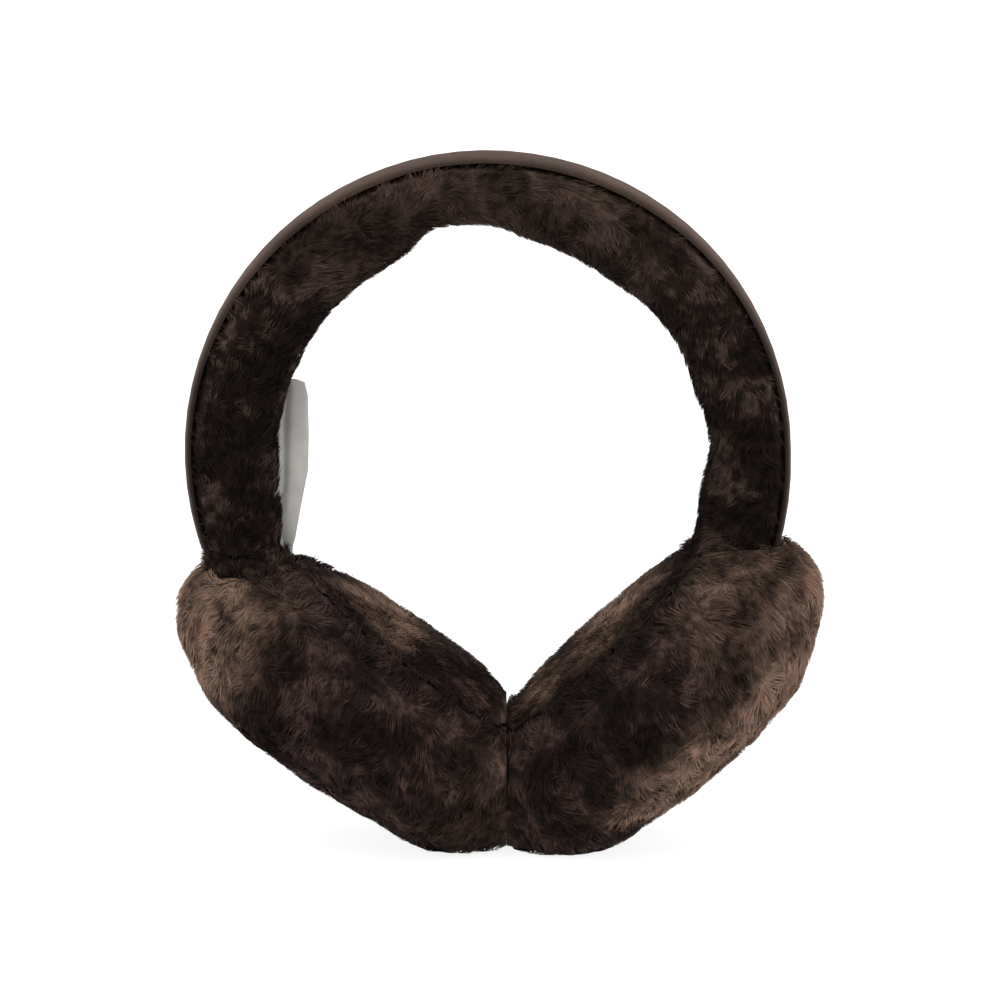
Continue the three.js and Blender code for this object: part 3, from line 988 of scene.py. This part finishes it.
def strip_ring(angle, outer, inner):
    """The points around one section, along the top and back along the bottom."""
    waviness = 0.003 * noise.noise(Vector((angle * 9, 1.3, 0)))
    top_row, bottom_row = [], []
    for step in range(ACROSS + 1):
        share = 2 * step / ACROSS - 1
        y = share * (HALF_WIDTH - 0.15 * MM)
        top = radius_at(angle, 0.985 * y, False) or outer
        bottom = radius_at(angle, 0.985 * y, True) or inner
        bottom -= LET_IN * float(ease(-abs(share), -0.75, -0.45))
        skived = 1 - 0.5 * float(ease(abs(share), 0.5, 0.93))
        edge = max(0.0, abs(share) - 0.95) / 0.05
        half = (top - bottom) / 2 * skived * max(math.sqrt(max(0.0, 1 - edge * edge)), 0.12)
        middle = top - (top - bottom) / 2 * skived
        top_row.append((y * (1 + waviness), middle + half))
        bottom_row.append((y * (1 + waviness), middle - half))
    out = outward_at(angle)
    return [Vector(hub) + out * r + Vector((0, y, 0)) for y, r in top_row + bottom_row[::-1]]


def strip_rings():
    rings = []
    for angle in np.linspace(START, END, STATIONS):
        outer = radius_at(angle, 0, False)
        inner = radius_at(angle, 0, True)
        if outer is None or inner is None:
            continue
        lowest = min((Vector(hub) + outward_at(angle) * radius).z for radius in (outer, inner))
        if lowest >= low_suede.z + FOOT_MARGIN:
            rings.append(strip_ring(angle, outer, inner))
    print("suede stations:", len(rings))
    return rings


# %% Skinning the sections
def skin_rings(name, rings, closed):
    """Faces between rows of points; a closed row joins up with itself and the ends are capped."""
    shape = bmesh.new()
    rows = [[shape.verts.new(point) for point in ring] for ring in rings]
    count = len(rows[0])
    for low, high in zip(rows, rows[1:]):
        for step in range(count if closed else count - 1):
            after = (step + 1) % count
            shape.faces.new((low[step], low[after], high[after], high[step]))
    if closed:
        shape.faces.new(rows[0][::-1])
        shape.faces.new(rows[-1])
    bmesh.ops.recalc_face_normals(shape, faces=shape.faces)
    mesh = bpy.data.meshes.new(name)
    shape.to_mesh(mesh)
    shape.free()
    mesh.shade_smooth()
    return place_piece(name, mesh)


strip = skin_rings("suede_strip", strip_rings(), True)
strip.data.materials.append(suede)
places = coordinates(strip.data)
# Painted shade: darker along the skived edges, and more so down the low ends where the strip stands edge-on.
low_down = ease(high_suede.z - places[:, 2], 18 * MM, 60 * MM)
at_edge = ease(np.abs(places[:, 1]), HALF_WIDTH - 3 * MM, HALF_WIDTH - 1 * MM)
suede_painted_shade = np.maximum(0.45 * at_edge, 0.95 * low_down * (0.35 + 0.65 * at_edge))
put_number(strip.data, "painted_shade", suede_painted_shade)
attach(strip, "root")
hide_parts("headband_suede")
print("suede faces:", len(strip.data.polygons))


# %% [markdown]
# ## Care label
# A short length of satin ribbon, folded in two along its free edge and sewn into the lining by its cut
# edges. It stays blank. Cloth simulation would fold it too, but its sewn edge and its fold are both
# known, so each level of the ribbon is drawn as one row: out along the front leaf, round the fold, and
# back along the other leaf. Solidify then gives the cloth its thickness.

# %% Where the label is held at each level
LABEL_LEVELS = 60
LABEL_AROUND = 44
LABEL_CLOTH = 0.22 * MM
label_low, label_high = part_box("care_label")
label_middle = (label_low.y + label_high.y) / 2


def label_edges(z):
    """x of the fold and of the sewn edge; below the CAD label both taper into the pile."""
    tree = solids["care_label"]
    held = max(z, label_low.z + 0.4 * MM)
    free = tree.ray_cast(Vector((0.2, label_middle, held)), Vector((-1, 0, 0)))[0].x
    sewn = tree.ray_cast(Vector((-0.2, label_middle, held)), Vector((1, 0, 0)))[0].x + 0.4 * MM
    free -= (free - sewn - 2.0 * MM) * min(1.0, (held - z) / (3 * MM))
    sewn -= 1.2 * MM * float(ease(label_low.z - z, -18.6 * MM, -4.6 * MM))
    return free, sewn


# %% One row of the ribbon
def label_row(rise):
    """Both leaves at one level; turn runs from -1 at the front leaf's cut edge to 1 at the other's."""
    z = label_low.z - 2.6 * MM + (label_high.z - label_low.z + 2.3 * MM) * rise
    free, sewn = label_edges(z)
    row = []
    for step in range(LABEL_AROUND + 1):
        turn = 2 * step / LABEL_AROUND - 1
        reach = 1 - abs(turn) ** 1.15
        rounded = math.sqrt(max(0.0, 1 - (1 - min(1, abs(turn) / 0.09)) ** 2))
        puff = 0.6 + 0.4 * math.sin(4.1 * rise + 0.6)
        puff = 0.35 + 0.5 * math.sin(math.pi * min(1.0, abs(turn))) * puff
        y = math.copysign(puff * rounded, turn) * MM
        pleat = math.exp(-(reach - 0.48) ** 2 / 0.010) * float(ease(rise, 0.15, 0.5))
        roll = float(ease(-reach, -0.34, -0.10)) * (0.5 + 0.9 * float(ease(rise, 0.5, 0.95)))
        if turn < 0:
            y += (1.1 * pleat - 1.3 * roll) * MM
        sway = 0.55 * MM * math.sin(2.3 + 5.0 * rise) + 0.25 * MM * math.sin(9 * rise + 3 * reach)
        lift = 0.35 * MM * math.sin(3 * reach)
        row.append((sewn + (free - sewn) * reach, label_middle + y + sway, z + lift))
    return row


# %% Folding and fitting the label
label_rows = [label_row(level / LABEL_LEVELS) for level in range(LABEL_LEVELS + 1)]
label = skin_rings("label_loop", label_rows, False)
cloth = label.modifiers.new("cloth", "SOLIDIFY")
cloth.thickness = LABEL_CLOTH
cloth.offset = 0
settle(label)
label.data.materials.clear()
label.data.materials.append(satin)
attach(label, "root")
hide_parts("care_label")
print("label area cm2:", round(sum(p.area for p in label.data.polygons) / 2 * 1e4, 2))

# %% [markdown]
# ## Floor and sky
# A white floor that runs far past the frame and an even white sky make the plain studio ground. Paper
# that is only white would come out grey wherever the object shades it, so it also glows a little. The
# sky lights the pile more from above than from the horizon, and is white where it is seen directly.

# %% Floor
floor = place_piece("floor", bpy.data.meshes.new("floor"))
floor.data.from_pydata([(-30, -30, 0), (30, -30, 0), (30, 30, 0), (-30, 30, 0)], [], [(0, 1, 2, 3)])
paper = new_finish("paper", Base_Color=(0.26, 0.26, 0.26, 1), Emission_Color=(1, 1, 1, 1),
                   Emission_Strength=0.88, Roughness=0.9)[0]
floor.data.materials.append(paper)
floor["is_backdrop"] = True

# %% Sky
HORIZON = 0.35
ZENITH = 1.6
SEEN_WHITE = 1.02
world = bpy.data.worlds.new("studio")
world.use_nodes = True
sky = world.node_tree
up = add_node(sky, "ShaderNodeSeparateXYZ")
sky.links.new(add_node(sky, "ShaderNodeTexCoord").outputs["Generated"], up.inputs[0])
glow = add_node(sky, "ShaderNodeMapRange", interpolation_type="SMOOTHSTEP")
feed(sky, glow, Value=up.outputs["Z"], From_Min=0.0, From_Max=0.9, To_Min=HORIZON, To_Max=ZENITH)
seen = add_node(sky, "ShaderNodeLightPath").outputs["Is Camera Ray"]
strength = math_node(sky, "MAXIMUM", glow.outputs[0], math_node(sky, "MULTIPLY", seen, SEEN_WHITE))
feed(sky, sky.nodes["Background"], Color=(1, 1, 1, 1), Strength=strength)
bpy.context.scene.world = world
print("sky:", HORIZON, "at the horizon and", ZENITH, "overhead")


# %% [markdown]
# ## Lamps
# One large soft lamp in front, above the left shoulder, shapes the pile. A weaker one opens the shadows
# on the right. Small lamps would give the strands hard sparkle that real shearling doesn't have.

# %% Lamps
LAMP_TARGET = Vector((0, 0, 0.09))


def soft_lamp(name, place, size, power):
    lamp = bpy.data.objects.new(name, bpy.data.lights.new(name, "AREA"))
    lamp.data.shape = "DISK"
    lamp.data.size = size
    lamp.data.energy = power
    lamp.location = place
    lamp.rotation_euler = (LAMP_TARGET - Vector(place)).to_track_quat("-Z", "Y").to_euler()
    bpy.context.scene.collection.objects.link(lamp)
    print(name, "lamp:", power, "W")


soft_lamp("key", (-0.6, -1.2, 1.6), 1.6, 16)
soft_lamp("fill", (1.2, -1.0, 0.6), 1.2, 3)
bpy.context.scene.view_settings.view_transform = "Standard"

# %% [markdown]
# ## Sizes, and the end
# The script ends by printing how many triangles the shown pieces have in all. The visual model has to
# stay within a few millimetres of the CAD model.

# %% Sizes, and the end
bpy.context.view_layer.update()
total = sum(len(p.vertices) - 2 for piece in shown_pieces() for p in piece.data.polygons)
print("triangles in all:", total)
